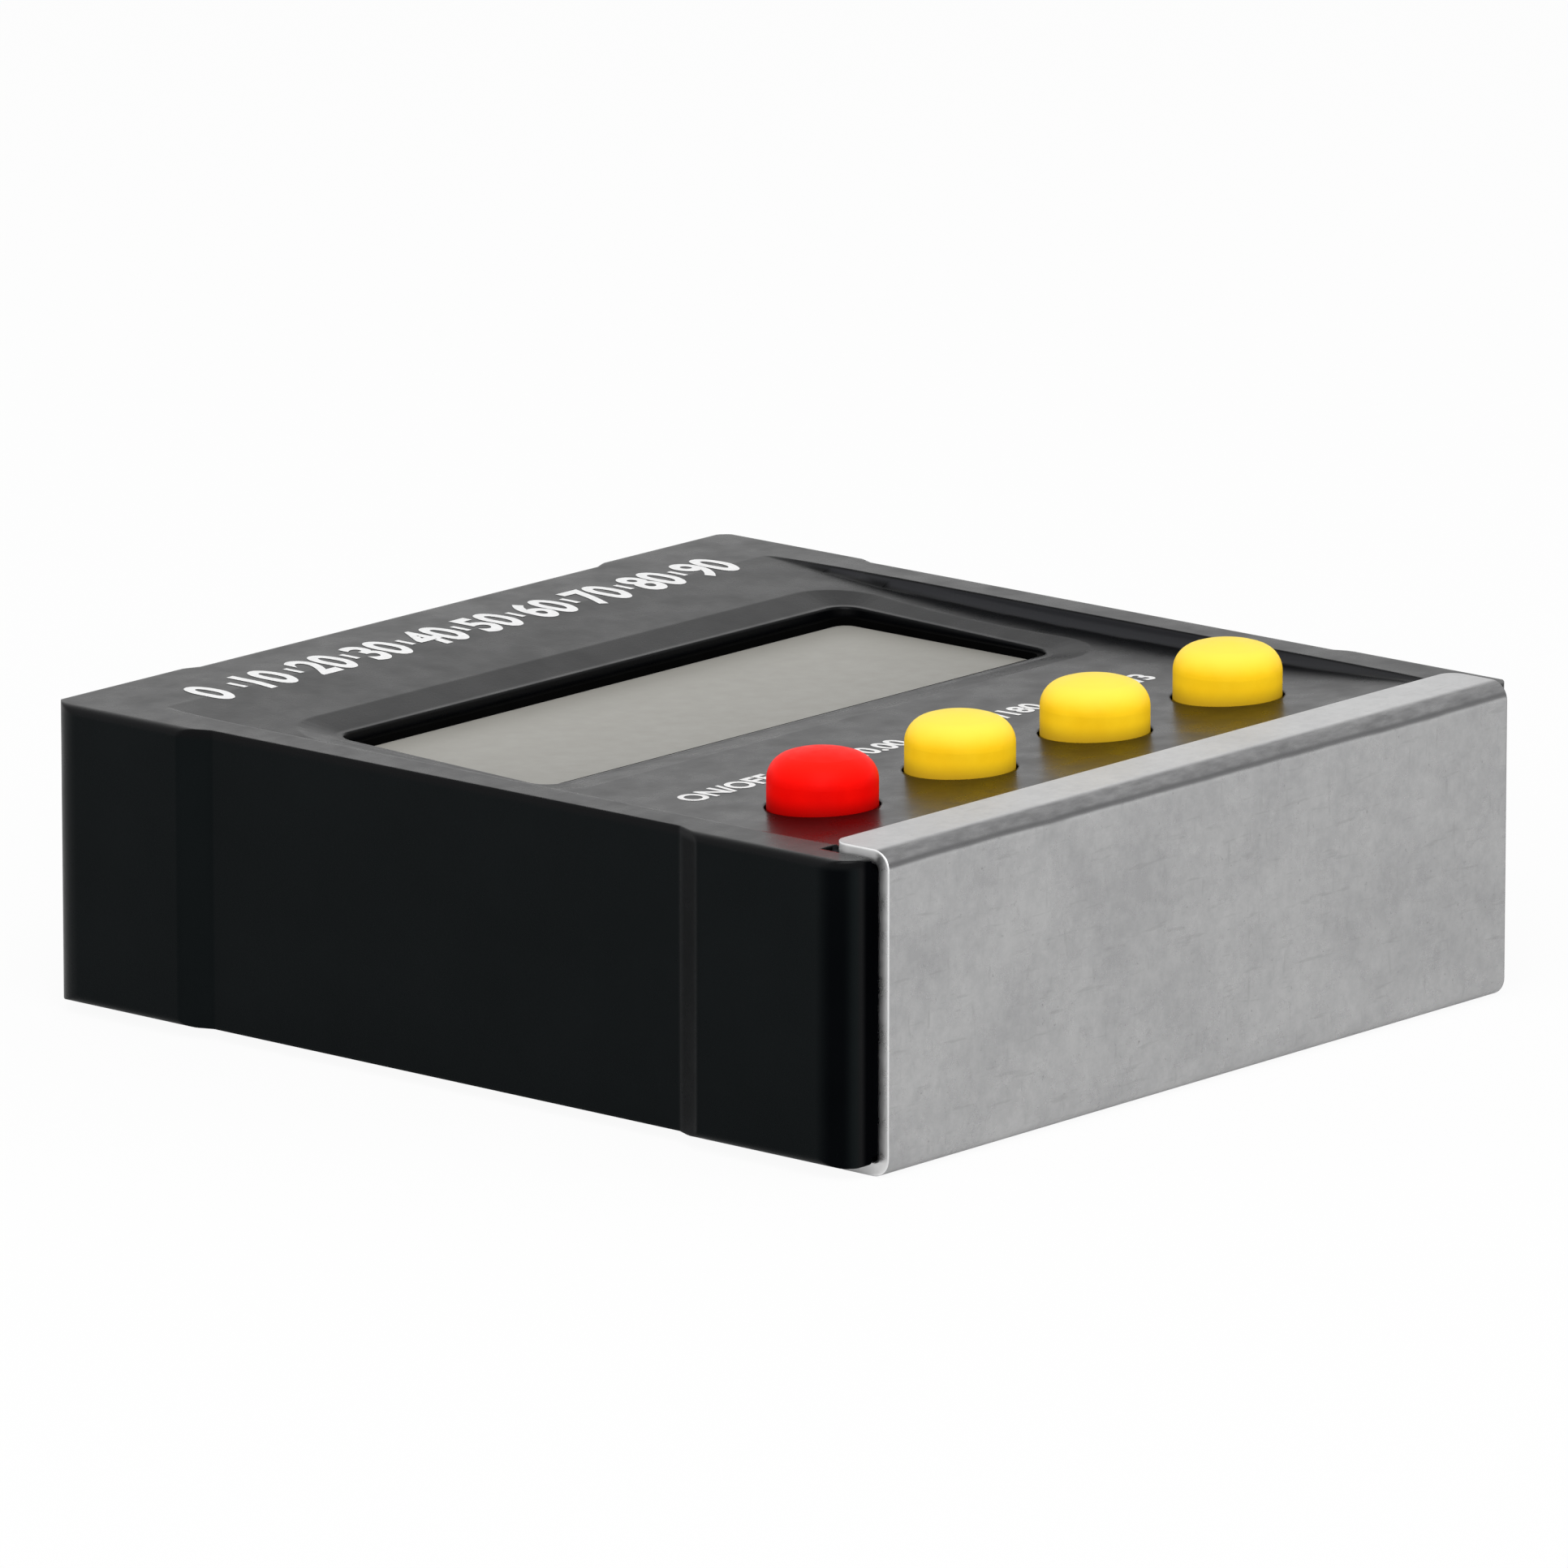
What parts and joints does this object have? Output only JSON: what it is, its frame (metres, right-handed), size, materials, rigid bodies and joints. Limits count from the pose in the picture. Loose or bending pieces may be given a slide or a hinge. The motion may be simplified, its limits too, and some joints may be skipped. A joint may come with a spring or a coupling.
{
  "type": "digital angle gauge",
  "caption": "Square pocket angle gauge with a scooped face, display window, push buttons, folded steel magnetic base and a sliding battery door.",
  "frame": {"origin": "middle of the footprint, at the lowest point, with the gauge lying on its back", "axes": "+X reading direction, +Y towards the title edge, -Y the magnetic base, +Z out of the face"},
  "size_m": [0.0586, 0.061, 0.0206],
  "materials": {
    "case_plastic": "satin black moulded plastic",
    "base_steel": "bright rolled sheet, lightly scuffed",
    "magnet_metal": "plated sintered magnet",
    "gasket_rubber": "black moulded frame",
    "display_glass": "grey display glass",
    "holder_plastic": "white moulded plastic",
    "strip_rubber": "layered conductive rubber",
    "board_laminate": "green coated laminate",
    "chip_resin": "black potting resin",
    "plated_metal": "nickel plated",
    "switch_plastic": "black moulded plastic",
    "red_cap": "red moulded cap",
    "yellow_cap": "yellow moulded cap",
    "cell_jacket": "plain printed jacket"
  },
  "bodies": {
    "gauge": {"case_shell": "case_plastic", "rear_cover": "case_plastic", "base_plate": "base_steel", "magnet_left": "magnet_metal", "magnet_centre": "magnet_metal", "magnet_right": "magnet_metal", "lcd_gasket": "gasket_rubber", "lcd_glass": "display_glass", "lcd_holder": "holder_plastic", "zebra_strip": "strip_rubber", "main_board": "board_laminate", "controller_chip": "chip_resin", "tilt_sensor": "chip_resin", "crystal_can": "plated_metal", "switch_power": "switch_plastic", "switch_zero": "switch_plastic", "switch_unit": "switch_plastic", "switch_hold": "switch_plastic", "battery_cell": "cell_jacket", "battery_spring": "plated_metal", "spring_contact": "plated_metal", "nub_contact": "plated_metal", "cover_screws": "plated_metal", "board_screws": "plated_metal"},
    "power_key": {"power_button": "red_cap", "plunger_power": "switch_plastic"},
    "zero_key": {"zero_button": "yellow_cap", "plunger_zero": "switch_plastic"},
    "unit_key": {"unit_button": "yellow_cap", "plunger_unit": "switch_plastic"},
    "hold_key": {"hold_button": "yellow_cap", "plunger_hold": "switch_plastic"},
    "door": {"battery_door": "case_plastic"}
  },
  "joints": [
    {"name": "power_press", "type": "slide", "parent": "gauge", "child": "power_key", "axis": [0, 0, -1], "range_m": [0, 0.0003], "stiffness_N_per_m": 3000},
    {"name": "zero_press", "type": "slide", "parent": "gauge", "child": "zero_key", "axis": [0, 0, -1], "range_m": [0, 0.0003], "stiffness_N_per_m": 3000},
    {"name": "unit_press", "type": "slide", "parent": "gauge", "child": "unit_key", "axis": [0, 0, -1], "range_m": [0, 0.0003], "stiffness_N_per_m": 3000},
    {"name": "hold_press", "type": "slide", "parent": "gauge", "child": "hold_key", "axis": [0, 0, -1], "range_m": [0, 0.0003], "stiffness_N_per_m": 3000},
    {"name": "door_slide", "type": "slide", "parent": "gauge", "child": "door", "axis": [0, 1, 0], "range_m": [0, 0.017]}
  ]
}
